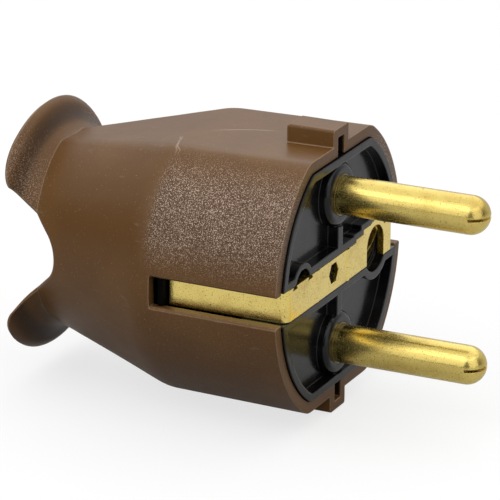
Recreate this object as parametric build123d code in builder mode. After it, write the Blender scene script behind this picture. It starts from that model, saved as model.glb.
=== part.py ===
from build123d import *
from math import cos, pi, radians, sin, sqrt
import os

# A rewireable straight plug: a moulded housing with two finger wings at its rear, and a contact
# carrier that snaps into its open front with two pins, an earth strip and an earth socket.
# X runs along the plug towards the tips of the pins, and Z along the line of the two pins.
# The origin is the centre of the housing's front rim. All lengths are in millimetres.

os.makedirs("parts", exist_ok=True)

# Pins
pin_radius = 2.4
pin_spacing = 19.0
pin_tip_x = 19.4
pin_slit_width = 0.35
pin_slit_depth = 1.9
pin_root_radius = 2.6
pin_flange_radius = 4.1
pin_flange_thickness = 1.5
pin_head_radius = 3.3
pin_rear_x = -16.5
wire_hole_radius = 1.6
wire_hole_depth = 9.0
terminal_screw_x = -12.0

# Housing
body_radius = 18.15
body_flat_height = 15.9
body_corner = 4.0
least_corner = 0.5
wall = 1.4
shoulder_x = -18.5
draft = 0.3
shoulder_round = 9.0
neck_x = -37.0
neck_half_width = 11.3
neck_half_height = 11.8
neck_flat_half = 2.4
neck_corner = 3.0
neck_wall = 1.6
floor_inset = 7.0
floor_thickness = 2.4
cable_hole_radius = 4.5
flare_lead = 2.8
flare_front_radius = 11.5
flare_mid_overhang = 0.2
flare_mid_share = 5 / 18
lip_overhang = 1.5
lip_share = 11 / 15
wing_overhang = 2.9
wing_radius = 16.0
wing_edge_chamfer = 0.4
wing_edge_round = 0.35
wing_wall = 1.6
recess_radius = 10.2
notch_root_radius = 3.7
notch_side_angle = 42
notch_corner_inset = 5.5
notch_round = 0.4
rib_width = 4.2
rib_height = 2.15
rib_length = 6.2
rib_wall = 1.15
rib_seat = 1.0
rib_edge_round = 0.3
slot_half_height = 1.9
slot_rear_x = -16.85
slot_chamfer = 0.25
opening_run_out = 1.0

# Contact carrier
carrier_gap = 0.15
carrier_proud = 0.3
carrier_rear_x = -5.5
rim_width = 0.95
pocket_depth = 1.4
bar_half_height = 3.0
collar_radius = 4.0
collar_round = 0.8
web_width = 1.3
web_y = -0.5
pin_fit = 0.05
arm_thickness = 1.3
arm_half_height = 1.8
hook_length = 1.2
hook_inset = 1.15
hook_gap = 0.2

# Earth strip and earth socket
strip_thickness = 0.8
strip_half_height = 2.0
strip_gap = 0.1
strip_recess = 1.15
strip_bend_radius = 1.2
strip_leg_rear_x = -15.2
socket_y = 10.0
socket_bore_radius = 2.45
socket_wall = 0.5
socket_flange_radius = 3.4
socket_flange_thickness = 0.5
socket_rear_x = -8.0
socket_slit = 0.6
mouth_top_z = 1.2
mouth_rear_x = -2.2
ring_radius = 3.3
ring_hole_radius = 2.55
ring_steps = ((4.3, 2.4), (6.5, 3.0))
step_land = 0.7
near_crease_y = -6.8
near_crease_height = 0.06
far_crease_y = 1.8
far_crease_height = 0.15
crease_half_width = 0.45
hex_hole_y = -2.3
hex_hole_z = 0.25
hex_hole_radius = 1.4
hex_recess_depth = 1.5
tab_inset = 2.7
tab_width = 3.6
tab_way_height = 2.4
tab_way_land = 0.7
tab_rear_x = -15.0
tab_nick = 0.7

# Terminal block, the rear half of the insert
block_gap = 0.3
block_plate_thickness = 2.8
block_arm_gap = 0.8
block_rib_thickness = 1.3
block_rib_half_width = 6.0
block_rib_z = 5.9
block_rib_rear_x = -17.0
bed_front_x = -17.0
bed_rear_x = -26.0
bed_half_width = 8.6
bed_top_z = -4.0
bed_thickness = 2.4
bed_corner = 1.3
clamp_x = -22.0
clamp_screw_y = 6.8
clamp_boss_radius = 2.7
clamp_boss_top_z = -1.0
clamp_boss_bottom_z = -8.8
clamp_nut_wall = 1.3
clamp_bar_width = 5.0
clamp_bar_thickness = 1.8
clamp_bar_half_length = 9.4
clamp_arch_rise = 2.4
clamp_arch_half = 2.6

# Small fasteners, with the shares of a screw head's radius and height that shape its dome
terminal_screw_radius = 1.5
terminal_head_radius = 2.7
terminal_head_height = 1.8
retainer_screw_y = 5.2
retainer_screw_radius = 1.4
retainer_head_radius = 2.5
retainer_head_height = 1.7
retainer_tip_x = -2.6
clamp_screw_radius = 1.5
clamp_head_radius = 2.5
clamp_head_height = 1.7
nut_across_flats = 5.5
nut_thickness = 2.2
square_nut_width = 4.2
washer_thickness = 0.8
washer_side = 5.4
thread_gap = 0.05
hole_gap = 0.15
drive_slot_width = 0.7
drive_slot_depth = 0.8
head_side_share = 0.45
head_shoulder_share = 0.88
head_shoulder_rise = 0.82
head_crown_share = 0.55
screw_point = 0.5

# how close counts as the same place when edges and faces are chosen
tiny = 0.01

strip_face_x = carrier_proud
groove_x = strip_face_x - strip_thickness
strip_half_span = body_radius - wall - strip_recess
tab_near_y = tab_inset - strip_half_span
hook_reach = body_radius - hook_inset
floor_front_x = neck_x + floor_inset
waist_x = floor_front_x - floor_thickness
flare_front_x = neck_x + flare_lead
flare_mid_x = neck_x - flare_mid_overhang
flare_mid_radius = flare_front_radius + flare_mid_share * (wing_radius - flare_front_radius)
lip_x = neck_x - lip_overhang
lip_radius = flare_front_radius + lip_share * (wing_radius - flare_front_radius)
wing_rear_x = neck_x - wing_overhang
notch_corner_radius = wing_radius - notch_corner_inset
pin_z = pin_spacing / 2
plate_rear_x = carrier_rear_x - block_plate_thickness
pin_heights = {"line": pin_z, "neutral": -pin_z}


def body_size(x, inset):
    """Half width, half height and half flat of the housing's section at x, moved in by inset."""
    shrink = draft * x / shoulder_x
    half_width = body_radius - shrink - inset
    half_height = body_flat_height - shrink - inset
    return half_width, half_height, sqrt(half_width**2 - half_height**2)


def bowed_outline(half_width, half_height, flat_half, corner):
    """Draw a closed outline with bowed sides, a flat top and bottom, and rounded corners."""
    with BuildSketch() as outline:
        with BuildLine():
            ThreePointArc((flat_half, -half_height), (half_width, 0), (flat_half, half_height))
            Line((flat_half, half_height), (-flat_half, half_height))
            ThreePointArc((-flat_half, half_height), (-half_width, 0), (-flat_half, -half_height))
            Line((-flat_half, -half_height), (flat_half, -half_height))
        make_face()
        fillet(outline.vertices(), corner)
    return outline.sketch_local


def body_outline(x, inset):
    """Outline of the straight part of the housing at x, moved in by inset."""
    half_width, half_height, flat_half = body_size(x, inset)
    return bowed_outline(half_width, half_height, flat_half, max(body_corner - inset, least_corner))


def neck_outline(x, inset):
    """Outline of the tapering neck at x, moved in by inset."""
    half_width, half_height, flat_half = body_size(shoulder_x, 0)
    share = (x - shoulder_x) / (neck_x - shoulder_x)
    return bowed_outline(
        half_width + share * (neck_half_width - half_width) - inset,
        half_height + share * (neck_half_height - half_height) - inset,
        flat_half + share * (neck_flat_half - flat_half),
        neck_corner,
    )


def section_at(x, outline):
    """Stand an outline across the plug at x."""
    with BuildSketch(Plane.YZ.offset(x)) as section:
        add(outline)
    return section.sketch


def bell_section():
    """Half section of the recess between the wings."""
    with BuildSketch() as section:
        with BuildLine():
            bell = ThreePointArc(
                (waist_x, recess_radius),
                (flare_mid_x, flare_mid_radius - wing_wall),
                (wing_rear_x, wing_radius - wing_wall),
            )
            Polyline(bell @ 1, (wing_rear_x, 0), (waist_x, 0), bell @ 0)
        make_face()
    return section.sketch_local


def notch_outline():
    """Outline of the notch that parts the wings: a round root, straight sides, rounded corners."""
    rise, run = sin(radians(notch_side_angle)), cos(radians(notch_side_angle))
    half_turn = radians(45 - notch_side_angle / 2)
    side_x = waist_x - notch_root_radius * (1 - rise)
    side_z = notch_root_radius * run
    corner_x = wing_rear_x + notch_corner_radius * (1 - rise)
    corner_z = side_z + (side_x - corner_x) * rise / run
    tip_z = corner_z + notch_corner_radius * run
    mid_x = wing_rear_x + notch_corner_radius * (1 - cos(half_turn))
    mid_z = tip_z - notch_corner_radius * sin(half_turn)
    with BuildSketch() as outline:
        with BuildLine():
            root = ThreePointArc((side_x, side_z), (waist_x, 0), (side_x, -side_z))
            Line(root @ 0, (corner_x, corner_z))
            Line(root @ 1, (corner_x, -corner_z))
            upper_corner = ThreePointArc((corner_x, corner_z), (mid_x, mid_z), (wing_rear_x, tip_z))
            lower_corner = ThreePointArc((corner_x, -corner_z), (mid_x, -mid_z), (wing_rear_x, -tip_z))
            Polyline(
                upper_corner @ 1,
                (wing_rear_x - opening_run_out, tip_z),
                (wing_rear_x - opening_run_out, -tip_z),
                lower_corner @ 1,
            )
        make_face()
    return outline.sketch_local


def notch_edges(block):
    """Outer edges of the notch's walls on a block that has no recess yet."""
    behind = block.faces().filter_by(lambda f: f.center().X < waist_x + tiny)
    walls = behind.filter_by(lambda f: abs(f.normal_at().Y) < tiny)
    in_root = walls.filter_by(lambda f: abs(f.center().Z) < notch_root_radius)
    walls = walls.filter_by(lambda f: abs(f.normal_at().X) < 1 - tiny) + in_root
    return walls.edges().filter_by(lambda e: abs(e.tangent_at(0.5).Y) < 1 - tiny)


# Finger wings: cut from a flared ring whose lip turns back, with their outer edge broken.
with BuildPart() as wings:
    with BuildSketch(Plane.XZ):
        with BuildLine():
            flare = ThreePointArc(
                (flare_front_x, flare_front_radius),
                (flare_mid_x, flare_mid_radius),
                (lip_x, lip_radius),
            )
            lip = TangentArc(flare @ 1, (wing_rear_x, wing_radius), tangent=flare % 1)
            Polyline(lip @ 1, (wing_rear_x, 0), (flare_front_x, 0), flare @ 0)
        make_face()
    revolve(axis=Axis.X)
    with BuildSketch(Plane.XZ):
        add(notch_outline())
    extrude(amount=body_radius, both=True, mode=Mode.SUBTRACT)
    chamfer(notch_edges(wings), wing_edge_chamfer)
    with BuildSketch(Plane.XZ):
        add(bell_section())
    revolve(axis=Axis.X, mode=Mode.SUBTRACT)
    inner_rim = wings.edges().filter_by(GeomType.CIRCLE)
    inner_rim = inner_rim.filter_by(lambda e: abs(e.radius - wing_radius + wing_wall) < tiny)
    fillet(inner_rim, wing_edge_round)

# Housing: one moulding, open at the front, with a straight body that tapers to the neck.
with BuildPart() as housing:
    shoulder = section_at(shoulder_x, body_outline(shoulder_x, 0))
    loft([section_at(0, body_outline(0, 0)), shoulder], ruled=True)
    loft([shoulder, section_at(neck_x, neck_outline(neck_x, 0))], ruled=True)
    shoulder_edges = housing.edges().filter_by(lambda e: abs(e.center().X - shoulder_x) < tiny)
    fillet(shoulder_edges, shoulder_round)
    # guide ribs on the two flats
    rib_middle = body_flat_height + (rib_height - rib_seat) / 2
    with BuildSketch(Plane.YZ.offset(-rib_length)):
        with Locations((0, rib_middle), (0, -rib_middle)):
            Rectangle(rib_width, rib_height + rib_seat)
    extrude(amount=rib_length)
    rib_top = body_flat_height + rib_height
    rib_edges = housing.edges().filter_by(lambda e: abs(abs(e.center().Z) - rib_top) < tiny)
    fillet(rib_edges.filter_by(lambda e: e.center().X < -tiny), rib_edge_round)
    # cavity for the insert
    inner_shoulder = section_at(shoulder_x, body_outline(shoulder_x, wall))
    inner_front = section_at(opening_run_out, body_outline(opening_run_out, wall))
    inner_neck = section_at(floor_front_x, neck_outline(floor_front_x, neck_wall))
    loft([inner_shoulder, inner_front], ruled=True, mode=Mode.SUBTRACT)
    loft([inner_shoulder, inner_neck], ruled=True, mode=Mode.SUBTRACT)
    # notch through the neck, whose outer edge is rounded, and the recess behind the floor
    with BuildSketch(Plane.XZ):
        add(notch_outline())
    extrude(amount=body_radius, both=True, mode=Mode.SUBTRACT)
    fillet(notch_edges(housing), notch_round)
    with BuildSketch(Plane.XZ):
        add(bell_section())
    revolve(axis=Axis.X, mode=Mode.SUBTRACT)
    add(wings.part)
    # cable hole
    with BuildSketch(Plane.YZ.offset(waist_x - opening_run_out)):
        Circle(cable_hole_radius)
    extrude(amount=floor_thickness + 2 * opening_run_out, mode=Mode.SUBTRACT)
    # side slots for the earth strip's legs and the carrier's hooks
    with BuildSketch(Plane.XZ):
        with Locations((slot_rear_x, 0)):
            Rectangle(opening_run_out - slot_rear_x, 2 * slot_half_height, align=(Align.MIN, Align.CENTER))
    extrude(amount=body_radius + opening_run_out, both=True, mode=Mode.SUBTRACT)
    slot_edges = housing.edges().filter_by(lambda e: abs(abs((e @ 0.5).Z) - slot_half_height) < tiny)
    chamfer(slot_edges.filter_by(lambda e: abs((e @ 0.5).Y) > body_radius - wall / 2), slot_chamfer)
    # channels inside the guide ribs
    with BuildSketch(Plane.YZ.offset(opening_run_out)):
        channel_top = body_flat_height + rib_height - rib_wall
        Rectangle(rib_width - 2 * rib_wall, 2 * channel_top)
    extrude(amount=-(rib_length - rib_wall + opening_run_out), mode=Mode.SUBTRACT)
housing.part.label = "housing"
export_step(housing.part, "parts/housing.step")

# Contact carrier: the black moulding that closes the front and snaps into the side slots.
insert_inset = wall + carrier_gap
leg_inner_y = strip_half_span - strip_thickness
groove_half = strip_half_height + strip_gap
bend_inner = strip_bend_radius - strip_thickness
bend_relief = bend_inner + strip_gap
arm_outer_y = leg_inner_y - strip_gap
arm_inner_y = arm_outer_y - arm_thickness
hook_rear_x = slot_rear_x + hook_gap
block_half_width = arm_inner_y - block_arm_gap
tab_y = tab_near_y + tab_width / 2


def ring_plate(grow):
    """Outline of the strip's ring and its stepped shoulder, grown by a gap."""
    with BuildSketch() as outline:
        with Locations((socket_y, 0)):
            Circle(ring_radius + grow)
            for step_y, step_z in ring_steps:
                Rectangle(socket_y - step_y + grow, step_z + grow, align=(Align.MAX, Align.MIN))
    return outline.sketch_local


def tab_way(grow):
    """Arched outline of the way through the carrier for the strip's tab, grown by a gap."""
    half = tab_width / 2 + hole_gap + grow
    floor_z = strip_half_height - strip_thickness - strip_gap
    spring_z = strip_half_height + strip_gap
    with BuildSketch() as outline:
        with BuildLine():
            arch = ThreePointArc(
                (tab_y - half, spring_z),
                (tab_y, floor_z + tab_way_height + grow),
                (tab_y + half, spring_z),
            )
            Polyline(arch @ 1, (tab_y + half, floor_z), (tab_y - half, floor_z), arch @ 0)
        make_face()
    return outline.sketch_local


with BuildPart() as contact_carrier:
    carrier_back = section_at(carrier_rear_x, body_outline(carrier_rear_x, insert_inset))
    carrier_face = section_at(strip_face_x, body_outline(strip_face_x, insert_inset))
    loft([carrier_back, carrier_face], ruled=True)
    # pockets above and below the bar, leaving the rim, the collars, the webs and the socket boss
    with BuildSketch(Plane.YZ.offset(strip_face_x)):
        add(body_outline(strip_face_x, insert_inset + rim_width))
        Rectangle(2 * body_radius, 2 * bar_half_height, mode=Mode.SUBTRACT)
        with Locations((web_y, 0)):
            Rectangle(web_width, 2 * pin_z, mode=Mode.SUBTRACT)
        with Locations((0, pin_z), (0, -pin_z)):
            Circle(collar_radius, mode=Mode.SUBTRACT)
        with Locations((socket_y, 0)):
            Circle(socket_flange_radius + rim_width, mode=Mode.SUBTRACT)
        add(ring_plate(strip_gap + step_land), mode=Mode.SUBTRACT)
        add(tab_way(tab_way_land), mode=Mode.SUBTRACT)
    extrude(amount=-pocket_depth, mode=Mode.SUBTRACT)
    # rounded edge of each collar
    for height in pin_heights.values():
        with BuildSketch(Plane.XZ):
            with BuildLine():
                edge_round = ThreePointArc(
                    (strip_face_x - collar_round, height + collar_radius),
                    (
                        strip_face_x - collar_round * (1 - sin(pi / 4)),
                        height + collar_radius - collar_round * (1 - cos(pi / 4)),
                    ),
                    (strip_face_x, height + collar_radius - collar_round),
                )
                Polyline(edge_round @ 1, (strip_face_x, height + collar_radius), edge_round @ 0)
            make_face()
        revolve(axis=Axis((0, 0, height), (1, 0, 0)), mode=Mode.SUBTRACT)
    # groove for the face of the earth strip, and flats down the sides for its legs
    with BuildSketch(Plane.YZ.offset(strip_face_x)):
        Rectangle(2 * body_radius, 2 * groove_half)
        add(ring_plate(strip_gap))
    extrude(amount=-strip_thickness, mode=Mode.SUBTRACT)
    with BuildSketch(Plane.YZ.offset(strip_face_x)):
        with Locations((leg_inner_y + wall, 0), (-leg_inner_y - wall, 0)):
            Rectangle(2 * wall, 2 * groove_half)
    extrude(amount=carrier_rear_x - strip_face_x, mode=Mode.SUBTRACT)
    # corners of the bar, cut back to clear the inside of the strip's bends
    for sign in (-1, 1):
        with BuildSketch(Plane.XY):
            with BuildLine():
                Polyline(
                    (groove_x, sign * (leg_inner_y - bend_relief)),
                    (groove_x, sign * leg_inner_y),
                    (groove_x - bend_relief, sign * leg_inner_y),
                    close=True,
                )
            make_face()
        extrude(amount=groove_half, both=True, mode=Mode.SUBTRACT)
    # holes for the pins and seats for their flanges
    with BuildSketch(Plane.YZ.offset(strip_face_x)):
        with Locations((0, pin_z), (0, -pin_z)):
            Circle(pin_root_radius + pin_fit)
    extrude(amount=carrier_rear_x - strip_face_x, mode=Mode.SUBTRACT)
    with BuildSketch(Plane.YZ.offset(carrier_rear_x)):
        with Locations((0, pin_z), (0, -pin_z)):
            Circle(pin_flange_radius + hole_gap)
    extrude(amount=pin_flange_thickness, mode=Mode.SUBTRACT)
    # bore of the earth socket with the seat for its flange
    with BuildSketch(Plane.YZ.offset(strip_face_x)):
        with Locations((socket_y, 0)):
            Circle(socket_bore_radius + socket_wall + pin_fit)
    extrude(amount=carrier_rear_x - strip_face_x, mode=Mode.SUBTRACT)
    with BuildSketch(Plane.YZ.offset(groove_x)):
        with Locations((socket_y, 0)):
            Circle(socket_flange_radius + pin_fit)
    extrude(amount=-socket_flange_thickness, mode=Mode.SUBTRACT)
    # blind recess behind the strip's hexagonal hole
    with BuildSketch(Plane.YZ.offset(groove_x)):
        with Locations((hex_hole_y, hex_hole_z)):
            RegularPolygon(hex_hole_radius, 6)
    extrude(amount=-hex_recess_depth, mode=Mode.SUBTRACT)
    # arched way for the earth terminal's tab
    with BuildSketch(Plane.YZ.offset(strip_face_x)):
        add(tab_way(0))
    extrude(amount=carrier_rear_x - strip_face_x, mode=Mode.SUBTRACT)
    # blind holes for the screws that hold the terminal block
    with BuildSketch(Plane.YZ.offset(carrier_rear_x)):
        with Locations((retainer_screw_y, 0), (-retainer_screw_y, 0)):
            Circle(retainer_screw_radius + thread_gap)
    extrude(amount=retainer_tip_x - carrier_rear_x + hole_gap, mode=Mode.SUBTRACT)
    # spring arms with hooks at their ends
    with BuildSketch(Plane.XY):
        with BuildLine():
            Polyline(
                (carrier_rear_x, arm_inner_y),
                (hook_rear_x, arm_inner_y),
                (hook_rear_x, arm_outer_y),
                (hook_rear_x + hook_length / 2, hook_reach),
                (hook_rear_x + hook_length, hook_reach),
                (hook_rear_x + hook_length, arm_outer_y),
                (carrier_rear_x, arm_outer_y),
                close=True,
            )
        make_face()
        mirror(about=Plane.XZ)
    extrude(amount=arm_half_height, both=True)
contact_carrier.part.label = "contact_carrier"
export_step(contact_carrier.part, "parts/contact_carrier.step")

# Pins: turned, with a round slit tip, a flange behind the carrier and a bored terminal head.
tip_centre_x = pin_tip_x - pin_radius
flange_front_x = carrier_rear_x + pin_flange_thickness
for side, height in pin_heights.items():
    with BuildPart() as pin:
        with BuildSketch(Plane.XZ):
            with BuildLine():
                nose = ThreePointArc(
                    (pin_tip_x, height),
                    (tip_centre_x + pin_radius * cos(pi / 4), height + pin_radius * sin(pi / 4)),
                    (tip_centre_x, height + pin_radius),
                )
                Polyline(
                    nose @ 1,
                    (strip_face_x, height + pin_radius),
                    (strip_face_x, height + pin_root_radius),
                    (flange_front_x, height + pin_root_radius),
                    (flange_front_x, height + pin_flange_radius),
                    (carrier_rear_x, height + pin_flange_radius),
                    (carrier_rear_x, height + pin_head_radius),
                    (pin_rear_x, height + pin_head_radius),
                    (pin_rear_x, height),
                    nose @ 0,
                )
            make_face()
        revolve(axis=Axis((0, 0, height), (1, 0, 0)))
        with Locations((pin_tip_x, 0, height)):
            Box(2 * pin_slit_depth, 4 * pin_radius, pin_slit_width, mode=Mode.SUBTRACT)
        with BuildSketch(Plane.YZ.offset(pin_rear_x)):
            with Locations((0, height)):
                Circle(wire_hole_radius)
        extrude(amount=wire_hole_depth, mode=Mode.SUBTRACT)
        with BuildSketch(Plane.XZ.offset(pin_head_radius)):
            with Locations((terminal_screw_x, height)):
                Circle(terminal_screw_radius + thread_gap)
        extrude(amount=-pin_head_radius, mode=Mode.SUBTRACT)
    pin.part.label = side + "_pin"
    export_step(pin.part, "parts/" + side + "_pin.step")

# Earth strip: one folded sheet with its ring, its terminal tab and two side legs.
with BuildPart() as earth_strip:
    with BuildSketch(Plane.XY):
        with BuildLine():
            Polyline(
                (strip_leg_rear_x, -strip_half_span),
                (strip_face_x, -strip_half_span),
                (strip_face_x, strip_half_span),
                (strip_leg_rear_x, strip_half_span),
                (strip_leg_rear_x, leg_inner_y),
                (groove_x, leg_inner_y),
                (groove_x, -leg_inner_y),
                (strip_leg_rear_x, -leg_inner_y),
                close=True,
            )
        make_face()
    extrude(amount=strip_half_height, both=True)
    upright = earth_strip.edges().filter_by(Axis.Z)
    fillet(upright.group_by(Axis.X)[-1], strip_bend_radius)
    upright = earth_strip.edges().filter_by(Axis.Z)
    inner = upright.filter_by(lambda e: abs(e.center().X - groove_x) < tiny)
    fillet(inner, bend_inner)
    # ring around the earth socket, open below
    with BuildSketch(Plane.YZ.offset(groove_x)):
        add(ring_plate(0))
    extrude(amount=strip_thickness)
    with BuildSketch(Plane.YZ.offset(groove_x)):
        with Locations((socket_y, 0)):
            Circle(ring_hole_radius)
            Rectangle(2 * ring_hole_radius, ring_radius + 1, align=(Align.CENTER, Align.MAX))
        with Locations((hex_hole_y, hex_hole_z)):
            RegularPolygon(hex_hole_radius, 6)
    extrude(amount=strip_thickness, mode=Mode.SUBTRACT)
    # two upright creases that stiffen the face
    for crease_y, crease_height in ((near_crease_y, near_crease_height), (far_crease_y, far_crease_height)):
        with BuildSketch(Plane.XY):
            with BuildLine():
                crease = ThreePointArc(
                    (strip_face_x, crease_y - crease_half_width),
                    (strip_face_x + crease_height, crease_y),
                    (strip_face_x, crease_y + crease_half_width),
                )
                Line(crease @ 1, crease @ 0)
            make_face()
        extrude(amount=strip_half_height, both=True)
    # nicks beside the tab, and the tab itself, bent back through the carrier
    with BuildSketch(Plane.YZ.offset(groove_x)):
        near_nick_y = tab_near_y - tab_nick / 2
        far_nick_y = tab_near_y + tab_width + tab_nick / 2
        with Locations((near_nick_y, strip_half_height), (far_nick_y, strip_half_height)):
            Triangle(a=2 * tab_nick, b=2 * tab_nick, c=2 * tab_nick)
    extrude(amount=strip_thickness, mode=Mode.SUBTRACT)
    with BuildSketch(Plane.XZ.offset(-tab_near_y)):
        with BuildLine():
            Polyline(
                (groove_x, strip_half_height - strip_thickness),
                (tab_rear_x, strip_half_height - strip_thickness),
                (tab_rear_x, strip_half_height),
                (groove_x, strip_half_height),
                close=True,
            )
        make_face()
    extrude(amount=-tab_width)
    with BuildSketch(Plane.XY.offset(strip_half_height)):
        with Locations((terminal_screw_x, tab_y)):
            Circle(terminal_screw_radius + hole_gap)
    extrude(amount=-strip_thickness, mode=Mode.SUBTRACT)
earth_strip.part.label = "earth_strip"
export_step(earth_strip.part, "parts/earth_strip.step")

# Earth socket: a slit sleeve whose flange lies under the strip's ring.
with BuildPart() as earth_socket_sleeve:
    with BuildSketch(Plane.YZ.offset(groove_x)):
        with Locations((socket_y, 0)):
            Circle(socket_flange_radius)
    extrude(amount=-socket_flange_thickness)
    with BuildSketch(Plane.YZ.offset(groove_x)):
        with Locations((socket_y, 0)):
            Circle(socket_bore_radius + socket_wall)
    extrude(amount=socket_rear_x - groove_x)
    with BuildSketch(Plane.YZ.offset(groove_x)):
        with Locations((socket_y, 0)):
            Circle(socket_bore_radius)
    extrude(amount=socket_rear_x - groove_x, mode=Mode.SUBTRACT)
    with BuildSketch(Plane.YZ.offset(groove_x)):
        with Locations((socket_y, 0)):
            Rectangle(socket_slit, 2 * socket_flange_radius, align=(Align.CENTER, Align.MAX))
    extrude(amount=socket_rear_x - groove_x, mode=Mode.SUBTRACT)
    # slanted mouth, cut back below, where the strip's ring is open
    with BuildSketch(Plane.XZ.offset(-socket_y)):
        with BuildLine():
            Polyline(
                (groove_x, mouth_top_z),
                (mouth_rear_x, -socket_flange_radius),
                (groove_x, -socket_flange_radius),
                close=True,
            )
        make_face()
    extrude(amount=socket_flange_radius, both=True, mode=Mode.SUBTRACT)
earth_socket_sleeve.part.label = "earth_socket_sleeve"
export_step(earth_socket_sleeve.part, "parts/earth_socket_sleeve.step")

# Terminal block: the plate that traps the pins, two ribs that part the wires, and the cord bed.
rib_top_z = block_rib_z
rib_bottom_z = block_rib_z - block_rib_thickness
with BuildPart() as terminal_block:
    with BuildSketch(Plane.YZ.offset(carrier_rear_x)):
        add(body_outline(plate_rear_x, wall + block_gap))
        Rectangle(2 * block_half_width, 2 * body_radius, mode=Mode.INTERSECT)
    extrude(amount=-block_plate_thickness)
    with BuildSketch(Plane.YZ.offset(plate_rear_x)):
        with Locations((0, (rib_top_z + rib_bottom_z) / 2), (0, -(rib_top_z + rib_bottom_z) / 2)):
            Rectangle(2 * block_rib_half_width, block_rib_thickness)
    extrude(amount=block_rib_rear_x - plate_rear_x)
    # cord bed with a boss under each clamp screw
    with BuildSketch(Plane.XY.offset(bed_top_z)) as bed:
        with Locations((bed_front_x, 0)):
            Rectangle(bed_front_x - bed_rear_x, 2 * bed_half_width, align=(Align.MAX, Align.CENTER))
        fillet(bed.vertices(), bed_corner)
    extrude(amount=-bed_thickness)
    with BuildSketch(Plane.XY.offset(clamp_boss_bottom_z)):
        with Locations((clamp_x, clamp_screw_y), (clamp_x, -clamp_screw_y)):
            Circle(nut_across_flats / 2 + clamp_nut_wall)
    extrude(amount=bed_top_z - clamp_boss_bottom_z)
    with BuildSketch(Plane.XY.offset(bed_top_z)):
        with Locations((clamp_x, clamp_screw_y), (clamp_x, -clamp_screw_y)):
            Circle(clamp_boss_radius)
    extrude(amount=clamp_boss_top_z - bed_top_z)
    with BuildSketch(Plane.XY.offset(clamp_boss_top_z)):
        with Locations((clamp_x, clamp_screw_y), (clamp_x, -clamp_screw_y)):
            Circle(clamp_screw_radius + hole_gap)
    extrude(amount=clamp_boss_bottom_z - clamp_boss_top_z, mode=Mode.SUBTRACT)
    with BuildSketch(Plane.XY.offset(clamp_boss_bottom_z)):
        with Locations((clamp_x, clamp_screw_y), (clamp_x, -clamp_screw_y)):
            RegularPolygon(nut_across_flats / 2 + thread_gap, 6, major_radius=False)
    extrude(amount=nut_thickness, mode=Mode.SUBTRACT)
    # ways through the plate for the pins' heads, the earth socket, the tab and the screws
    with BuildSketch(Plane.YZ.offset(carrier_rear_x)):
        with Locations((0, pin_z), (0, -pin_z)):
            Circle(pin_head_radius + hole_gap)
        with Locations((socket_y, 0)):
            Circle(socket_bore_radius + socket_wall + hole_gap)
        with Locations((retainer_screw_y, 0), (-retainer_screw_y, 0)):
            Circle(retainer_screw_radius + hole_gap)
        with Locations((tab_y, strip_half_height - strip_thickness - strip_gap)):
            Rectangle(tab_width + 4 * hole_gap, tab_way_height, align=(Align.CENTER, Align.MIN))
    extrude(amount=-block_plate_thickness, mode=Mode.SUBTRACT)
terminal_block.part.label = "terminal_block"
export_step(terminal_block.part, "parts/terminal_block.step")


def slotted_profile(radius, head_radius, head_height, length):
    """Draw half the outline of a pan-headed screw that points down from its head's seat."""
    with BuildSketch() as profile:
        with BuildLine():
            dome = ThreePointArc(
                (head_radius, head_height * head_side_share),
                (head_radius * head_shoulder_share, head_height * head_shoulder_rise),
                (head_radius * head_crown_share, head_height),
            )
            Polyline(
                dome @ 1,
                (0, head_height),
                (0, -length),
                (radius - screw_point, -length),
                (radius, -length + screw_point),
                (radius, 0),
                (head_radius, 0),
                dome @ 0,
            )
        make_face()
    return profile.sketch_local


def slotted_screw(name, seat, radius, head_radius, head_height, length):
    """Make and write a slotted screw whose head rests on the seat plane and points out of it."""
    with BuildPart() as screw:
        with BuildSketch(Plane.XZ):
            add(slotted_profile(radius, head_radius, head_height, length))
        revolve(axis=Axis.Z)
        with Locations((0, 0, head_height)):
            Box(2 * head_radius, drive_slot_width, 2 * drive_slot_depth, mode=Mode.SUBTRACT)
    placed = seat.location * screw.part
    placed.label = name
    export_step(placed, "parts/" + name + ".step")


for side, height in pin_heights.items():
    terminal_seat_point = (terminal_screw_x, -pin_head_radius - hole_gap, height)
    terminal_seat = Plane(terminal_seat_point, x_dir=(1, 0, 0), z_dir=(0, -1, 0))
    slotted_screw(
        side + "_terminal_screw",
        terminal_seat,
        terminal_screw_radius,
        terminal_head_radius,
        terminal_head_height,
        pin_head_radius - wire_hole_radius / 2,
    )

for side, sign in {"left": -1, "right": 1}.items():
    retainer_seat = Plane((plate_rear_x, sign * retainer_screw_y, 0), x_dir=(0, 1, 0), z_dir=(-1, 0, 0))
    slotted_screw(
        "retainer_screw_" + side,
        retainer_seat,
        retainer_screw_radius,
        retainer_head_radius,
        retainer_head_height,
        retainer_tip_x - plate_rear_x,
    )
    clamp_seat_z = clamp_boss_top_z + clamp_bar_thickness
    clamp_seat = Plane((clamp_x, sign * clamp_screw_y, clamp_seat_z), x_dir=(1, 0, 0), z_dir=(0, 0, 1))
    slotted_screw(
        "cord_clamp_screw_" + side,
        clamp_seat,
        clamp_screw_radius,
        clamp_head_radius,
        clamp_head_height,
        clamp_seat_z - clamp_boss_bottom_z,
    )
    with BuildPart() as clamp_nut:
        with BuildSketch(Plane.XY.offset(clamp_boss_bottom_z)):
            with Locations((clamp_x, sign * clamp_screw_y)):
                RegularPolygon(nut_across_flats / 2, 6, major_radius=False)
                Circle(clamp_screw_radius + thread_gap, mode=Mode.SUBTRACT)
        extrude(amount=nut_thickness)
    clamp_nut.part.label = "cord_clamp_nut_" + side
    export_step(clamp_nut.part, "parts/cord_clamp_nut_" + side + ".step")

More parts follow.
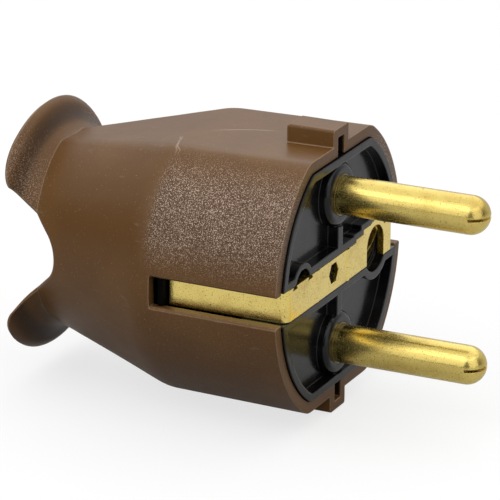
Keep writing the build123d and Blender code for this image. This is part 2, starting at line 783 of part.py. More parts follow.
# Earth terminal: a screw through a square washer and the tab into a square nut below.
washer_top_z = strip_half_height + washer_thickness
nut_top_z = strip_half_height - strip_thickness
with BuildPart() as earth_terminal_washer:
    with BuildSketch(Plane.XY.offset(strip_half_height)):
        with Locations((terminal_screw_x, tab_y)):
            Rectangle(washer_side, tab_width)
            Circle(terminal_screw_radius + hole_gap, mode=Mode.SUBTRACT)
    extrude(amount=washer_thickness)
earth_terminal_washer.part.label = "earth_terminal_washer"
export_step(earth_terminal_washer.part, "parts/earth_terminal_washer.step")

with BuildPart() as earth_terminal_nut:
    with BuildSketch(Plane.XY.offset(nut_top_z)):
        with Locations((terminal_screw_x, tab_y)):
            Rectangle(nut_across_flats, square_nut_width)
            Circle(terminal_screw_radius + thread_gap, mode=Mode.SUBTRACT)
    extrude(amount=-nut_thickness)
earth_terminal_nut.part.label = "earth_terminal_nut"
export_step(earth_terminal_nut.part, "parts/earth_terminal_nut.step")

earth_seat = Plane((terminal_screw_x, tab_y, washer_top_z), x_dir=(1, 0, 0), z_dir=(0, 0, 1))
slotted_screw(
    "earth_terminal_screw",
    earth_seat,
    terminal_screw_radius,
    terminal_head_radius,
    terminal_head_height,
    washer_top_z - nut_top_z + nut_thickness,
)

# Cord clamp bar: a strip of metal with a raised middle, on the two bosses of the cord bed.
bar_low_z = clamp_boss_top_z
bar_top_z = bar_low_z + clamp_bar_thickness


def arched_line(start_z):
    """Points of the bar's arched side from one end to the other, flat at the two ends."""
    half_slope = clamp_arch_rise / 2
    return [
        (-clamp_bar_half_length, start_z),
        (-clamp_arch_half - half_slope, start_z),
        (-clamp_arch_half, start_z + clamp_arch_rise),
        (clamp_arch_half, start_z + clamp_arch_rise),
        (clamp_arch_half + half_slope, start_z),
        (clamp_bar_half_length, start_z),
    ]


with BuildPart() as cord_clamp_bar:
    with BuildSketch(Plane.YZ.offset(clamp_x)):
        with BuildLine():
            Polyline(*arched_line(bar_low_z), *reversed(arched_line(bar_top_z)), close=True)
        make_face()
    extrude(amount=clamp_bar_width / 2, both=True)
    with BuildSketch(Plane.XY.offset(bar_low_z)):
        with Locations((clamp_x, clamp_screw_y), (clamp_x, -clamp_screw_y)):
            Circle(clamp_screw_radius + hole_gap)
    extrude(amount=clamp_bar_thickness, mode=Mode.SUBTRACT)
cord_clamp_bar.part.label = "cord_clamp_bar"
export_step(cord_clamp_bar.part, "parts/cord_clamp_bar.step")
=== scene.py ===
"""Dresses the straight plug: brown housing, black contact carrier, brass pins and earth strip.

The frame holds every piece at its real size, with X along the plug towards the pins' tips, Z along
the line of the two pins and Y across. Lengths here are in metres.
"""

import logging
import math
from dataclasses import dataclass, field
from enum import Enum
from typing import Any

import bpy
from mathutils import Matrix, Vector


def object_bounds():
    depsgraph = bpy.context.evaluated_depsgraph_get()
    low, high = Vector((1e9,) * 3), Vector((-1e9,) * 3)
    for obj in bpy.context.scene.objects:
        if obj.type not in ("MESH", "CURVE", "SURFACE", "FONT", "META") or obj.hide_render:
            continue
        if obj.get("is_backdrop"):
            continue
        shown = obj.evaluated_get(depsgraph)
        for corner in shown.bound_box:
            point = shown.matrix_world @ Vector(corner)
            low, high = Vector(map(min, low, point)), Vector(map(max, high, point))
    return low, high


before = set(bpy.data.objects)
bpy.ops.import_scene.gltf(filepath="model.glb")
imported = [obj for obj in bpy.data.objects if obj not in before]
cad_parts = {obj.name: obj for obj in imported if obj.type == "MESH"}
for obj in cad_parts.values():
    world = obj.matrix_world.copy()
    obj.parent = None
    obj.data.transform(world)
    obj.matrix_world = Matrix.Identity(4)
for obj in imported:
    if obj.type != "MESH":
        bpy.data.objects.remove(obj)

log = logging.getLogger("straight_plug")

Socket = bpy.types.NodeSocket
Colour = tuple[float, float, float]
Point = tuple[float, float, float]
Span = tuple[float, float]

MM = 0.001
WHITE: Colour = (1.0, 1.0, 1.0)
NOISE_MEAN = 0.5
BEVEL_SAMPLES = 6
# How far the rounded normal agrees with the flat one: from where an edge starts to where it is full.
EDGE_SPAN: Span = (0.985, 0.84)
# Numbers of the Mix node's sockets when it blends colours.
MIX_SHARE, MIX_FIRST, MIX_SECOND, MIX_RESULT = 0, 6, 7, 2


class Axis(Enum):
    """The three directions of the frame."""

    X = 0
    Y = 1
    Z = 2


@dataclass(frozen=True)
class Grain:
    """A noise in the object's space: size of its grains, octaves of finer noise, stretch by axis."""

    size: float
    detail: float = 2.0
    stretch: Point = (1.0, 1.0, 1.0)


class Value:
    """A number on a shader socket, so that shader maths reads as plain arithmetic."""

    def __init__(self, bench: "NodeBench", socket: Socket) -> None:
        """Wrap a socket of the bench's node tree."""
        self.bench = bench
        self.socket = socket

    def _math(self, operation: str, *terms: "Value | float") -> "Value":
        """Add one Math node.

        Args:
            operation: The node's operation.
            terms: Numbers or values, in the order of the node's sockets.

        Returns:
            The node's result.
        """
        node = self.bench.add("ShaderNodeMath", {"operation": operation}, dict(enumerate(terms)))
        return Value(self.bench, node.outputs[0])

    def __add__(self, other: "Value | float") -> "Value":
        """Sum of the two."""
        return self._math("ADD", self, other)

    def __radd__(self, other: float) -> "Value":
        """Sum with a number on the left."""
        return self._math("ADD", other, self)

    def __sub__(self, other: "Value | float") -> "Value":
        """Difference of the two."""
        return self._math("SUBTRACT", self, other)

    def __rsub__(self, other: float) -> "Value":
        """Difference from a number on the left."""
        return self._math("SUBTRACT", other, self)

    def __mul__(self, other: "Value | float") -> "Value":
        """Product of the two."""
        return self._math("MULTIPLY", self, other)

    def __rmul__(self, other: float) -> "Value":
        """Product with a number on the left."""
        return self._math("MULTIPLY", other, self)

    def __abs__(self) -> "Value":
        """Size without sign."""
        return self._math("ABSOLUTE", self)

    def larger(self, other: "Value | float") -> "Value":
        """The larger of the two."""
        return self._math("MAXIMUM", self, other)

    def ramp(self, start: float, end: float) -> "Value":
        """Smooth step from 0 at start to 1 at end; start may be the larger of the two.

        Args:
            start: Where the step is 0.
            end: Where the step is 1.

        Returns:
            The stepped value.
        """
        settings = {"interpolation_type": "SMOOTHSTEP"}
        sockets = {"Value": self, "From Min": start, "From Max": end}
        node = self.bench.add("ShaderNodeMapRange", settings, sockets)
        return Value(self.bench, node.outputs["Result"])

    def past(self, edge: float, border: float) -> "Value":
        """Smooth step from 0 to 1 over an edge, border being half the step's width."""
        return self.ramp(edge - border, edge + border)

    def within(self, edge: float, border: float) -> "Value":
        """Smooth step from 1 to 0 over an edge, border being half the step's width."""
        return self.ramp(edge + border, edge - border)


class NodeBench:
    """The node tree of one material or world and the ways to add to it."""

    def __init__(self, owner: bpy.types.Material | bpy.types.World) -> None:
        """Start with the owner's tree emptied.

        Args:
            owner: The material or world that the nodes belong to.
        """
        self.owner = owner
        owner.use_nodes = True
        self.tree = owner.node_tree
        self.tree.nodes.clear()

    @classmethod
    def for_material(cls, name: str) -> "NodeBench":
        """Start an empty material of that name."""
        return cls(bpy.data.materials.new(name))

    def add(
        self,
        kind: str,
        settings: dict[str, Any] | None = None,
        sockets: dict[str | int, Any] | None = None,
    ) -> bpy.types.Node:
        """Add a node.

        Args:
            kind: The node's type.
            settings: Properties of the node, which are set first.
            sockets: Values or links by the socket's name or number.

        Returns:
            The node.
        """
        node = self.tree.nodes.new(kind)
        for key, setting in (settings or {}).items():
            setattr(node, key, setting)
        for key, given in (sockets or {}).items():
            self._feed(node.inputs[key], given)
        return node

    def _feed(self, socket: Socket, given: Any) -> None:
        """Link a socket or set its number or colour.

        Args:
            socket: The socket to feed.
            given: A wrapped value, a node's output, a number, a vector or a colour.
        """
        if isinstance(given, Value):
            given = given.socket
        if isinstance(given, Socket):
            self.tree.links.new(given, socket)
        elif isinstance(given, tuple) and socket.type == "RGBA":
            socket.default_value = (*given, 1.0)
        else:
            socket.default_value = given

    def place(self) -> Socket:
        """Object coordinates."""
        return self.add("ShaderNodeTexCoord").outputs["Object"]

    def along(self, axis: Axis) -> Value:
        """How far along one axis the surface lies, in metres."""
        node = self.add("ShaderNodeSeparateXYZ", sockets={0: self.place()})
        return Value(self, node.outputs[axis.value])

    def noise(self, grain: Grain) -> Value:
        """Noise in the object's space.

        Args:
            grain: Its size, detail and stretch.

        Returns:
            The noise, about NOISE_MEAN on average.
        """
        scale = tuple(1.0 / (grain.size * length) for length in grain.stretch)
        vector = self.add("ShaderNodeMapping", sockets={"Vector": self.place(), "Scale": scale})
        sockets = {"Vector": vector.outputs[0], "Scale": 1.0, "Detail": grain.detail}
        return Value(self, self.add("ShaderNodeTexNoise", sockets=sockets).outputs[0])

    def reach(self, point: Point, weights: Point) -> Value:
        """Distance of the surface from a point.

        Args:
            point: The point in metres.
            weights: How much each axis counts.

        Returns:
            The distance in metres.
        """
        weighted = tuple(place * weight for place, weight in zip(point, weights))
        scaled = self.add("ShaderNodeVectorMath", {"operation": "MULTIPLY"}, {0: self.place(), 1: weights})
        sockets = {0: scaled.outputs["Vector"], 1: weighted}
        node = self.add("ShaderNodeVectorMath", {"operation": "DISTANCE"}, sockets)
        return Value(self, node.outputs["Value"])

    def mix(self, share: Value, first: Colour | Socket, second: Colour | Socket) -> Socket:
        """Blend two colours.

        Args:
            share: How much of the second colour shows.
            first: A colour or a colour socket.
            second: A colour or a colour socket.

        Returns:
            The blended colour's socket.
        """
        sockets = {MIX_SHARE: share, MIX_FIRST: first, MIX_SECOND: second}
        return self.add("ShaderNodeMix", {"data_type": "RGBA"}, sockets).outputs[MIX_RESULT]

    def flat_normal(self) -> Socket:
        """Normal of the surface."""
        return self.add("ShaderNodeNewGeometry").outputs["Normal"]

    def rounded(self, radius: float) -> Socket:
        """Normal of the surface with its edges rounded by that radius."""
        return self.add("ShaderNodeBevel", {"samples": BEVEL_SAMPLES}, {"Radius": radius}).outputs[0]

    def edges(self, radius: float) -> Value:
        """Mask of the surface's edges: 1 where the rounded normal turns away from the flat one.

        Args:
            radius: The edges' radius in metres.

        Returns:
            The mask, a step on the two normals' dot product.
        """
        sockets = {0: self.rounded(radius), 1: self.flat_normal()}
        agreed = self.add("ShaderNodeVectorMath", {"operation": "DOT_PRODUCT"}, sockets)
        return Value(self, agreed.outputs["Value"]).ramp(*EDGE_SPAN)

    def bump(self, height: Value, depth: float, normal: Socket) -> Socket:
        """Turn a height into a normal.

        Args:
            height: The height, 1 being the full depth.
            depth: The depth in metres.
            normal: The normal to start from.

        Returns:
            The normal's socket.
        """
        sockets = {"Height": height, "Distance": depth, "Strength": 1.0, "Normal": normal}
        return self.add("ShaderNodeBump", sockets=sockets).outputs[0]

    def finish(self, sockets: dict[str | int, Any]) -> bpy.types.Material:
        """Close the material with its surface shader.

        Args:
            sockets: Values or links of the surface shader's sockets.

        Returns:
            The material.
        """
        shader = self.add("ShaderNodeBsdfPrincipled", sockets=sockets)
        self.add("ShaderNodeOutputMaterial", sockets={"Surface": shader.outputs[0]})
        return self.owner


@dataclass(frozen=True)
class Scratch:
    """A fine pale scratch on the upper flat: a short arc of a circle seen from above."""

    centre: Point = (-6.1 * MM, -16.3 * MM, 0.0)
    seen_from_above: Point = (1.0, 1.0, 0.0)
    radius: float = 18.0 * MM
    half_width: float = 0.22 * MM
    start_x: float = -17.2 * MM
    end_x: float = -8.2 * MM
    fade: float = 3.0 * MM
    lowest_z: float = 14.0 * MM
    lower_border: float = 1.0 * MM

    def mask(self, bench: NodeBench) -> Value:
        """Mask of the scratch.

        Args:
            bench: The material's node tree.

        Returns:
            1 where the distance from the circle's centre is its radius, faded out at both ends.
        """
        offset = abs(bench.reach(self.centre, self.seen_from_above) - self.radius)
        across = offset.ramp(self.half_width, 0.0)
        along = bench.along(Axis.X)
        start = along.ramp(self.start_x, self.start_x + self.fade)
        end = along.ramp(self.end_x, self.end_x - self.fade)
        on_flat = bench.along(Axis.Z).ramp(self.lowest_z, self.lowest_z + self.lower_border)
        return across * (start * end) * on_flat


@dataclass(frozen=True)
class Blemish:
    """A small forked pale flaw left by the moulding."""

    centre_x: float = -18.1 * MM
    centre_y: float = -7.3 * MM
    lowest_z: float = 13.0 * MM
    lower_border: float = 1.0 * MM
    slant: float = 0.46
    fork: float = 0.16
    waver: float = 1.6 * MM
    branch_waver: float = 0.4
    branch_strength: float = 0.7
    half_width: float = 0.17 * MM
    half_length: float = 3.0 * MM
    full_length_share: float = 0.5
    grain: Grain = Grain(1.6 * MM, 2.0)

    def mask(self, bench: NodeBench) -> Value:
        """Mask of the flaw.

        Args:
            bench: The material's node tree.

        Returns:
            1 on two thin lines that waver with noise about a slanting line and part towards one end.
        """
        forward = bench.along(Axis.Y) - self.centre_y
        aside = bench.along(Axis.X) - self.centre_x + self.slant * forward
        waver = (bench.noise(self.grain) - NOISE_MEAN) * self.waver
        main = abs(aside + waver).ramp(self.half_width, 0.0)
        branch = abs(aside + self.branch_waver * waver - self.fork * forward).ramp(self.half_width, 0.0)
        length = abs(forward).ramp(self.half_length, self.full_length_share * self.half_length)
        on_flat = bench.along(Axis.Z).ramp(self.lowest_z, self.lowest_z + self.lower_border)
        return main.larger(self.branch_strength * branch) * length * on_flat


@dataclass(frozen=True)
class BrownPlastic:
    """Brown moulded plastic: satin, grained on the two bowed sides, with painted glints, painted shade and
    painted edge highlights.
    """

    colour: Colour = (0.140, 0.0655, 0.0175)
    dark: Colour = (0.118, 0.053, 0.0135)
    # Pale specks of the grain: painted glints.
    grain_glint_colour: Colour = (0.620, 0.455, 0.340)
    grain_deep: Colour = (0.072, 0.034, 0.013)
    speck_colour: Colour = (0.430, 0.330, 0.240)
    # Painted shade in the hollow before the wings' lip.
    channel_painted_shade: Colour = (0.030, 0.0135, 0.0045)
    # Painted shade in the guide ribs' channels.
    hollow_painted_shade: Colour = (0.012, 0.009, 0.008)
    # Pale lines along the edges: painted highlights.
    edge_highlight_colour: Colour = (0.460, 0.300, 0.180)
    scuff_colour: Colour = (0.380, 0.290, 0.210)

    clouds: Grain = Grain(9.0 * MM, 3.0)
    grain: Grain = Grain(0.125 * MM, 1.0)
    lone_specks: Grain = Grain(0.15 * MM, 0.0)
    skin: Grain = Grain(1.2 * MM, 3.0)
    scuffs: Grain = Grain(1.1 * MM, 4.0, (5.0, 1.0, 1.0))
    cloud_span: Span = (0.35, 0.70)
    spark_span: Span = (0.49, 0.70)
    speck_span: Span = (0.76, 0.84)
    scuff_span: Span = (0.66, 0.80)

    panel_rear_x: float = -17.6 * MM
    panel_rear_border: float = 1.1 * MM
    panel_half_height: float = 14.0 * MM
    panel_half_width: float = 8.6 * MM
    panel_border: float = 2.4 * MM
    panel_z_span: Span = (1.5 * MM, 8.0 * MM)
    panel_below_slot: float = 0.06
    wing_front_x: float = -34.6 * MM
    wing_y_span: Span = (4.0 * MM, 11.0 * MM)
    channel_x: float = -38.0 * MM
    channel_width_span: Span = (0.9 * MM, 0.1 * MM)
    channel_facing_span: Span = (0.0, 0.3)
    hollow_half_width: float = 1.0 * MM
    hollow_rear_x: float = -5.2 * MM
    hollow_front_x: float = -0.25 * MM
    hollow_top_z: float = 16.75 * MM
    hollow_border: float = 0.05 * MM
    edge_radius: float = 0.30 * MM
    scratch: Scratch = Scratch()
    blemish: Blemish = Blemish()

    wing_share: float = 0.45
    channel_shade_share: float = 0.75
    panel_share: float = 0.9
    speck_share: float = 0.4
    scuff_share: float = 0.25
    flaw_share: float = 0.6
    edge_highlight_share: float = 0.7

    specular: float = 0.25
    roughness: float = 0.34
    skin_roughness: float = 0.06
    spark_gloss: float = 0.10
    grain_depth: float = 0.045 * MM
    skin_height: float = 0.10

    def panel(self, bench: NodeBench) -> Value:
        """Mask of the grained side panels, which also carries their painted glints.

        Args:
            bench: The material's node tree.

        Returns:
            1 on the panels, faded out at their borders and under the slots, where the panels lie in shade and
            their painted glints fade away.
        """
        along, across, height = (bench.along(axis) for axis in Axis)
        above_slot = height.ramp(*self.panel_z_span)
        return (
            along.past(self.panel_rear_x, self.panel_rear_border)
            * abs(across).past(self.panel_half_width, self.panel_border)
            * abs(height).within(self.panel_half_height, self.panel_border)
            * (self.panel_below_slot + (1.0 - self.panel_below_slot) * above_slot)
        )

    def wing_grain_and_glints(self, bench: NodeBench) -> Value:
        """Mask of the fainter grain on the upper wing, whose pale specks are painted glints; the shaded lower
        wing is left without them.

        Args:
            bench: The material's node tree.

        Returns:
            1 towards the wing's two sides, 0 in its middle.
        """
        along, across, height = (bench.along(axis) for axis in Axis)
        return (
            along.ramp(self.wing_front_x, self.wing_front_x - self.panel_border)
            * abs(across).ramp(*self.wing_y_span)
            * height.ramp(0.0, self.panel_border)
        )

    def channel(self, bench: NodeBench) -> Value:
        """Mask of the painted shade in the hollow before the wings' lip.

        Args:
            bench: The material's node tree.

        Returns:
            1 near the channel's middle plane, where the surface looks to the front.
        """
        facing = bench.add("ShaderNodeSeparateXYZ", sockets={0: bench.flat_normal()}).outputs[Axis.X.value]
        offset = abs(bench.along(Axis.X) - self.channel_x)
        return offset.ramp(*self.channel_width_span) * Value(bench, facing).ramp(*self.channel_facing_span)

    def hollow(self, bench: NodeBench) -> Value:
        """Mask of the painted shade in the channels inside the two guide ribs, which lie in deep shade.

        Args:
            bench: The material's node tree.

        Returns:
            1 inside a box about the channels.
        """
        along, across, height = (bench.along(axis) for axis in Axis)
        border = self.hollow_border
        return (
            along.past(self.hollow_rear_x, border)
            * along.within(self.hollow_front_x, border)
            * abs(across).within(self.hollow_half_width, border)
            * abs(height).within(self.hollow_top_z, border)
        )

    def material(self) -> bpy.types.Material:
        """Build the material, from the broad clouds of tone up to the wear, the painted edge highlights and
        the painted shade on top.

        Returns:
            The material, with its grain and painted glints kept to the panels and the upper wing.
        """
        bench = NodeBench.for_material("housing_brown_plastic")
        panel = self.panel(bench).larger(self.wing_share * self.wing_grain_and_glints(bench))
        grain = bench.noise(self.grain)
        sparks = grain.ramp(*self.spark_span)
        skin = bench.noise(self.skin)
        clouds = bench.noise(self.clouds).ramp(*self.cloud_span)
        lone_specks = bench.noise(self.lone_specks).ramp(*self.speck_span)
        scuffs = bench.noise(self.scuffs).ramp(*self.scuff_span)
        flaws = self.scratch.mask(bench).larger(self.blemish.mask(bench))
        edges = bench.edges(self.edge_radius)
        # The grain's pale specks are painted glints and lighten the panels as a painted sheen.
        grain_and_glints = bench.mix(sparks, self.grain_deep, self.grain_glint_colour)
        tone = bench.mix(clouds, self.dark, self.colour)
        # Painted shade in the hollow before the wings' lip.
        tone = bench.mix(self.channel(bench) * self.channel_shade_share, tone, self.channel_painted_shade)
        tone = bench.mix(panel * self.panel_share, tone, grain_and_glints)
        tone = bench.mix(lone_specks * self.speck_share, tone, self.speck_colour)
        tone = bench.mix(scuffs * self.scuff_share + flaws * self.flaw_share, tone, self.scuff_colour)
        # Painted highlights along the rounded edges.
        tone = bench.mix(edges * self.edge_highlight_share, tone, self.edge_highlight_colour)
        # Painted shade: the guide ribs' channels are made near black.
        tone = bench.mix(self.hollow(bench), tone, self.hollow_painted_shade)
        relief = panel * grain + self.skin_height * skin
        uneven = self.roughness + self.skin_roughness * skin
        return bench.finish(
            {
                "Base Color": tone,
                "Roughness": uneven - self.spark_gloss * (panel * sparks),
                "Specular IOR Level": self.specular,
                "Normal": bench.bump(relief, self.grain_depth, bench.rounded(self.edge_radius)),
            }
        )


@dataclass(frozen=True)
class BlackGloss:
    """Black moulded plastic: glossy, with faint flow marks, dust and painted highlights on its edges."""

    colour: Colour = (0.0045, 0.0045, 0.0052)
    # Colour of the dust and of the painted edge highlights.
    dust_and_highlight: Colour = (0.045, 0.041, 0.036)

    flow: Grain = Grain(3.5 * MM, 2.0)
    specks: Grain = Grain(0.5 * MM, 4.0)
    speck_span: Span = (0.66, 0.78)
    speck_share: float = 0.35
    edge_highlight_share: float = 0.25

    shaded_from_x: float = -13.5 * MM
    shaded_from_y: float = 13.0 * MM
    shade_border: float = 1.0 * MM
    edge_radius: float = 0.25 * MM

    specular: float = 0.30
    roughness: float = 0.12
    flow_roughness: float = 0.14
    speck_roughness: float = 0.2
    shade_roughness: float = 0.5
    flow_depth: float = 0.05 * MM

    def shade(self, bench: NodeBench) -> Value:
        """Mask of the painted shade on the hooks, which stand in the side slots' shade.

        Args:
            bench: The material's node tree.

        Returns:
            1 behind the strip's legs and far enough out to the sides.
        """
        rear = bench.along(Axis.X).ramp(self.shaded_from_x, self.shaded_from_x - self.shade_border)
        aside = abs(bench.along(Axis.Y))
        return rear * aside.ramp(self.shaded_from_y, self.shaded_from_y + self.shade_border)

    def material(self) -> bpy.types.Material:
        """Build the material.

        Returns:
            The material, with painted shade making the hooks a dull deep black.
        """
        bench = NodeBench.for_material("carrier_black_gloss")
        shade = self.shade(bench)
        flow = bench.noise(self.flow)
        specks = bench.noise(self.specks).ramp(*self.speck_span)
        edges = bench.edges(self.edge_radius)
        # Dust specks, and paler edges that are painted highlights.
        dust_and_edge_highlight = (specks * self.speck_share + edges * self.edge_highlight_share) * (1 - shade)
        marks = self.flow_roughness * flow + self.speck_roughness * specks
        return bench.finish(
            {
                "Base Color": bench.mix(dust_and_edge_highlight, self.colour, self.dust_and_highlight),
                # Painted shade: the hooks are made a dull metallic black.
                "Metallic": shade,
                "Roughness": self.roughness + marks + self.shade_roughness * shade,
                "Specular IOR Level": self.specular,
                "Normal": bench.bump(flow, self.flow_depth, bench.rounded(self.edge_radius)),
            }
        )


@dataclass(frozen=True)
class Brass:
    """Bright brass, with fine pits and marks drawn out along one axis."""

    name: str
    lay: Axis
    colour: Colour = (0.870, 0.675, 0.215)
    deep: Colour = (0.600, 0.400, 0.090)
    soiled: Colour = (0.080, 0.055, 0.025)

    fine_marks: Grain = Grain(0.16 * MM, 2.0)
    broad_marks: Grain = Grain(0.8 * MM, 1.0)
    drawn_out: float = 12.0
    broad_share: float = 2.0
    pits: Grain = Grain(0.22 * MM, 4.0)
    pit_span: Span = (0.58, 0.72)
    pit_share: float = 0.3
    tarnish: Grain = Grain(3.2 * MM, 3.0)
    tarnish_span: Span = (0.45, 0.80)
    tarnish_share: float = 0.5
    specks: Grain = Grain(0.24 * MM, 3.0)
    speck_span: Span = (0.60, 0.68)
    grime: float = 0.35

    # Behind the whole plug, so that only brass that sets it is soiled at its root.
    soiled_to_x: float = -1.0
    root_span: Span = (0.3 * MM, -0.1 * MM)
    root_share: float = 0.9

    roughness: float = 0.17
    pit_roughness: float = 0.12
    tarnish_roughness: float = 0.14
    speck_roughness: float = 0.15
    pit_depth: float = 0.003 * MM
    mark_depth: float = 0.012 * MM
    edge_radius: float = 0.12 * MM

    def marks(self, bench: NodeBench) -> Value:
        """Height of the drawn marks, fine ones on broad ones.

        Args:
            bench: The material's node tree.

        Returns:
            The height, noise stretched along the lay.
        """
        stretch = tuple(self.drawn_out if axis is self.lay else 1.0 for axis in Axis)
        fine = Grain(self.fine_marks.size, self.fine_marks.detail, stretch)
        broad = Grain(self.broad_marks.size, self.broad_marks.detail, stretch)
        return bench.noise(fine) + self.broad_share * bench.noise(broad)

    def root(self, bench: NodeBench) -> Value:
        """Mask of the soiled line at a pin's root."""
        start, end = (self.soiled_to_x + offset for offset in self.root_span)
        return bench.along(Axis.X).ramp(start, end)

    def material(self) -> bpy.types.Material:
        """Build the material.

        Returns:
            The material.
        """
        bench = NodeBench.for_material(self.name)
        pits = bench.noise(self.pits).ramp(*self.pit_span)
        tarnish = bench.noise(self.tarnish)
        specks = bench.noise(self.specks).ramp(*self.speck_span)
        worn = tarnish.ramp(*self.tarnish_span) * self.tarnish_share + pits * self.pit_share
        tone = bench.mix(worn, self.colour, self.deep)
        tone = bench.mix(specks * self.grime, tone, self.soiled)
        tone = bench.mix(self.root(bench) * self.root_share, tone, self.soiled)
        dulled = self.pit_roughness * pits + self.tarnish_roughness * tarnish + self.speck_roughness * specks
        drawn = bench.bump(self.marks(bench), self.mark_depth, bench.rounded(self.edge_radius))
        return bench.finish(
            {
                "Base Color": tone,
                "Metallic": 1.0,
                "Roughness": self.roughness + dulled,
                "Normal": bench.bump(1 - pits, self.pit_depth, drawn),
            }
        )


@dataclass(frozen=True)
class ZincSteel:
    """Zinc-plated steel of the small screws, nuts and the clamp bar."""

    colour: Colour = (0.62, 0.62, 0.60)
    dull: Colour = (0.42, 0.43, 0.43)
    bloom: Grain = Grain(1.4 * MM, 4.0)
    bloom_span: Span = (0.45, 0.75)
    bloom_share: float = 0.6
    grain: Grain = Grain(0.12 * MM, 2.0)
    grain_depth: float = 0.008 * MM
    roughness: float = 0.28
    bloom_roughness: float = 0.15
    edge_radius: float = 0.10 * MM

    def material(self) -> bpy.types.Material:
        """Build the material.

        Returns:
            The material.
        """
        bench = NodeBench.for_material("zinc_steel")
        bloom = bench.noise(self.bloom)
        dulled = bloom.ramp(*self.bloom_span) * self.bloom_share
        relief = bench.noise(self.grain)
        return bench.finish(
            {
                "Base Color": bench.mix(dulled, self.colour, self.dull),
                "Metallic": 1.0,
                "Roughness": self.roughness + self.bloom_roughness * bloom,
                "Normal": bench.bump(relief, self.grain_depth, bench.rounded(self.edge_radius)),
            }
        )


def dress(nodes: tuple[str, ...], material: bpy.types.Material) -> None:
    """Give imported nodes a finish.

    Args:
        nodes: The nodes' names.
        material: Their finish.
    """
    for node in nodes:
        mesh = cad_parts[node].data
        mesh.materials.clear()
        mesh.materials.append(material)
        log.info("dressed %s in %s", node, material.name)


@dataclass
class Housing:
    """The brown moulding with its wings, ribs and side slots."""

    nodes: tuple[str, ...] = ("housing",)
    finish: BrownPlastic = BrownPlastic()

    def build(self) -> None:
        """Dress the moulding."""
        dress(self.nodes, self.finish.material())


@dataclass
class ContactInsert:
    """The black carrier and terminal block with the earth strip and the earth socket."""

    black_nodes: tuple[str, ...] = ("contact_carrier", "terminal_block")
    strip_nodes: tuple[str, ...] = ("earth_strip", "earth_socket_sleeve", "earth_terminal_washer")
    black: BlackGloss = BlackGloss()
    brass: Brass = Brass("strip_brass", Axis.Y, colour=(0.930, 0.730, 0.230), roughness=0.18, grime=0.55)

    def build(self) -> None:
        """Dress the insert's pieces."""
        dress(self.black_nodes, self.black.material())
        dress(self.strip_nodes, self.brass.material())


@dataclass
class Pins:
    """The two turned pins."""

    nodes: tuple[str, ...] = ("line_pin", "neutral_pin")
    brass: Brass = Brass(
        "pin_brass", Axis.X, colour=(0.720, 0.560, 0.165), deep=(0.480, 0.320, 0.070), soiled_to_x=0.35 * MM
    )

    def build(self) -> None:
        """Dress the pins."""
        dress(self.nodes, self.brass.material())


@dataclass
class Fasteners:
    """The screws, nuts and the clamp bar inside."""

    steel_nodes: tuple[str, ...] = (
        "line_terminal_screw",
        "neutral_terminal_screw",
        "earth_terminal_screw",
        "retainer_screw_left",
        "retainer_screw_right",
        "cord_clamp_bar",
        "cord_clamp_screw_left",
        "cord_clamp_screw_right",
        "cord_clamp_nut_left",
        "cord_clamp_nut_right",
    )
    brass_nodes: tuple[str, ...] = ("earth_terminal_nut",)
    steel: ZincSteel = ZincSteel()
    brass: Brass = Brass("nut_brass", Axis.Z)

    def build(self) -> None:
        """Dress the fasteners."""
        dress(self.steel_nodes, self.steel.material())
        dress(self.brass_nodes, self.brass.material())


@dataclass(frozen=True)
class Lamp:
    """A square soft lamp, its place and side in metres and its power in watts."""

    name: str
    place: Point
    side: float
    power: float

    def hang(self, target: Vector) -> None:
        """Hang the lamp so that it points at the plug.

        Args:
            target: The point it points at.
        """
        light = bpy.data.lights.new(self.name, "AREA")
        light.size = self.side
        light.energy = self.power
        hung = bpy.data.objects.new(self.name, light)
        bpy.context.scene.collection.objects.link(hung)
        hung.location = self.place
        hung.rotation_euler = (target - Vector(self.place)).to_track_quat("-Z", "Y").to_euler()
        log.info("hung %s", self.name)


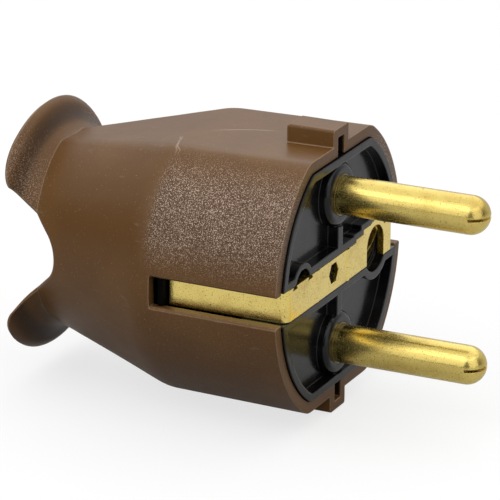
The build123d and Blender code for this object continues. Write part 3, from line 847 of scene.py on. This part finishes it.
@dataclass
class Studio:
    """The pale floor, the soft lights and the camera at the photograph's angle."""

    picture_width: int = 500
    focal_pixels: float = 4094.32
    sensor: float = 36.0
    azimuth: float = math.radians(25.518)
    elevation: float = math.radians(19.324)
    roll: float = math.radians(0.41)
    distance: float = 0.5
    nearest_seen: float = 0.01
    furthest_seen: float = 100.0
    target: Vector = field(default_factory=lambda: Vector((-0.012013, 0.0, 0.000507)))

    floor_half_size: float = 6.0
    floor_drop: float = 0.2 * MM
    floor_colour: Colour = (0.12, 0.12, 0.12)
    floor_seen_colour: Colour = (0.86, 0.86, 0.86)
    floor_mirrored_colour: Colour = (0.52, 0.52, 0.52)
    floor_seen_glow: float = 0.72
    floor_mirrored_glow: float = 0.08

    world_glow: float = 0.07
    overhead_glow: float = 0.35
    overhead_span: Span = (0.0, 1.0)
    behind_glow: float = 0.62
    behind_span: Span = (0.1, 0.9)

    lamps: tuple[Lamp, ...] = (
        Lamp("top_lamp", (-0.10, 0.05, 0.60), 1.8, 8.4),
        Lamp("side_lamp", (-0.25, -0.60, 0.40), 0.8, 2.2),
        Lamp("front_lamp", (0.55, -0.30, 0.30), 0.7, 1.6),
    )

    def place_camera(self) -> None:
        """Stand the camera where the photograph was taken from, looking at the target."""
        flat, rise = math.cos(self.elevation), math.sin(self.elevation)
        back = Vector((math.sin(self.azimuth) * flat, -math.cos(self.azimuth) * flat, rise))
        right = Vector((math.cos(self.azimuth), math.sin(self.azimuth), 0.0))
        up = back.cross(right)
        turned_right = right * math.cos(self.roll) + up * math.sin(self.roll)
        turned_up = up * math.cos(self.roll) - right * math.sin(self.roll)
        spin = Matrix((turned_right, turned_up, back)).transposed().to_4x4()
        lens = bpy.data.cameras.new("photo_camera")
        lens.sensor_width = self.sensor
        lens.lens = self.focal_pixels / self.picture_width * self.sensor
        lens.clip_start = self.nearest_seen
        lens.clip_end = self.furthest_seen
        camera = bpy.data.objects.new("photo_camera", lens)
        bpy.context.scene.collection.objects.link(camera)
        camera.matrix_world = Matrix.Translation(self.target + back * self.distance) @ spin
        bpy.context.scene.camera = camera

    def floor_material(self) -> bpy.types.Material:
        """Build the floor's material, by the kind of ray that meets it.

        Returns:
            The material: near white to the camera, mid-grey in reflections, dark to other rays.
        """
        bench = NodeBench.for_material("studio_floor")
        rays = bench.add("ShaderNodeLightPath").outputs
        seen = Value(bench, rays["Is Camera Ray"])
        mirrored = Value(bench, rays["Is Glossy Ray"])
        colour = bench.mix(mirrored, self.floor_colour, self.floor_mirrored_colour)
        colour = bench.mix(seen, colour, self.floor_seen_colour)
        matt = bench.add("ShaderNodeBsdfDiffuse", sockets={"Color": colour}).outputs[0]
        bright = bench.add("ShaderNodeEmission", sockets={"Color": WHITE, "Strength": 1.0}).outputs[0]
        share = (seen * self.floor_seen_glow).larger(mirrored * self.floor_mirrored_glow)
        shader = bench.add("ShaderNodeMixShader", sockets={0: share, 1: matt, 2: bright})
        bench.add("ShaderNodeOutputMaterial", sockets={"Surface": shader.outputs[0]})
        return bench.owner

    def lay_floor(self, lowest: float) -> None:
        """Lay the floor under the plug, a flat square that keeps the plug's shadow.

        Args:
            lowest: Height of the plug's lowest point.
        """
        half, height = self.floor_half_size, lowest - self.floor_drop
        corners = [(-half, -half, height), (half, -half, height), (half, half, height), (-half, half, height)]
        mesh = bpy.data.meshes.new("studio_floor")
        mesh.from_pydata(corners, [], [(0, 1, 2, 3)])
        mesh.materials.append(self.floor_material())
        floor = bpy.data.objects.new("studio_floor", mesh)
        bpy.context.scene.collection.objects.link(floor)
        floor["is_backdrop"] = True

    def light_world(self) -> None:
        """Light the world softly, brighter overhead and behind, and show it white to the camera."""
        world = bpy.data.worlds.new("studio")
        bpy.context.scene.world = world
        bench = NodeBench(world)
        direction = bench.add("ShaderNodeTexCoord").outputs["Generated"]
        parts = bench.add("ShaderNodeSeparateXYZ", sockets={0: direction}).outputs
        overhead = Value(bench, parts[Axis.Z.value]).ramp(*self.overhead_span)
        behind = Value(bench, parts[Axis.Y.value]).ramp(*self.behind_span)
        glow = self.world_glow + self.overhead_glow * overhead + self.behind_glow * behind
        seen = Value(bench, bench.add("ShaderNodeLightPath").outputs["Is Camera Ray"])
        sockets = {"Color": WHITE, "Strength": seen.larger(glow)}
        background = bench.add("ShaderNodeBackground", sockets=sockets)
        bench.add("ShaderNodeOutputWorld", sockets={"Surface": background.outputs[0]})

    def build(self, lowest: float) -> None:
        """Set up the camera, the floor and the lights.

        Args:
            lowest: Height of the plug's lowest point.
        """
        self.place_camera()
        self.lay_floor(lowest)
        self.light_world()
        for lamp in self.lamps:
            lamp.hang(self.target)
        bpy.context.scene.view_settings.view_transform = "Standard"
        log.info("studio ready")


def main() -> None:
    """Dress the plug, sub-assembly by sub-assembly, and set up the studio."""
    logging.basicConfig(level=logging.INFO)
    cad_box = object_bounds()
    Studio().build(cad_box[0].z)
    for sub_assembly in (Housing(), ContactInsert(), Pins(), Fasteners()):
        sub_assembly.build()
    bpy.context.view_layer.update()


if __name__ == "__main__":
    main()
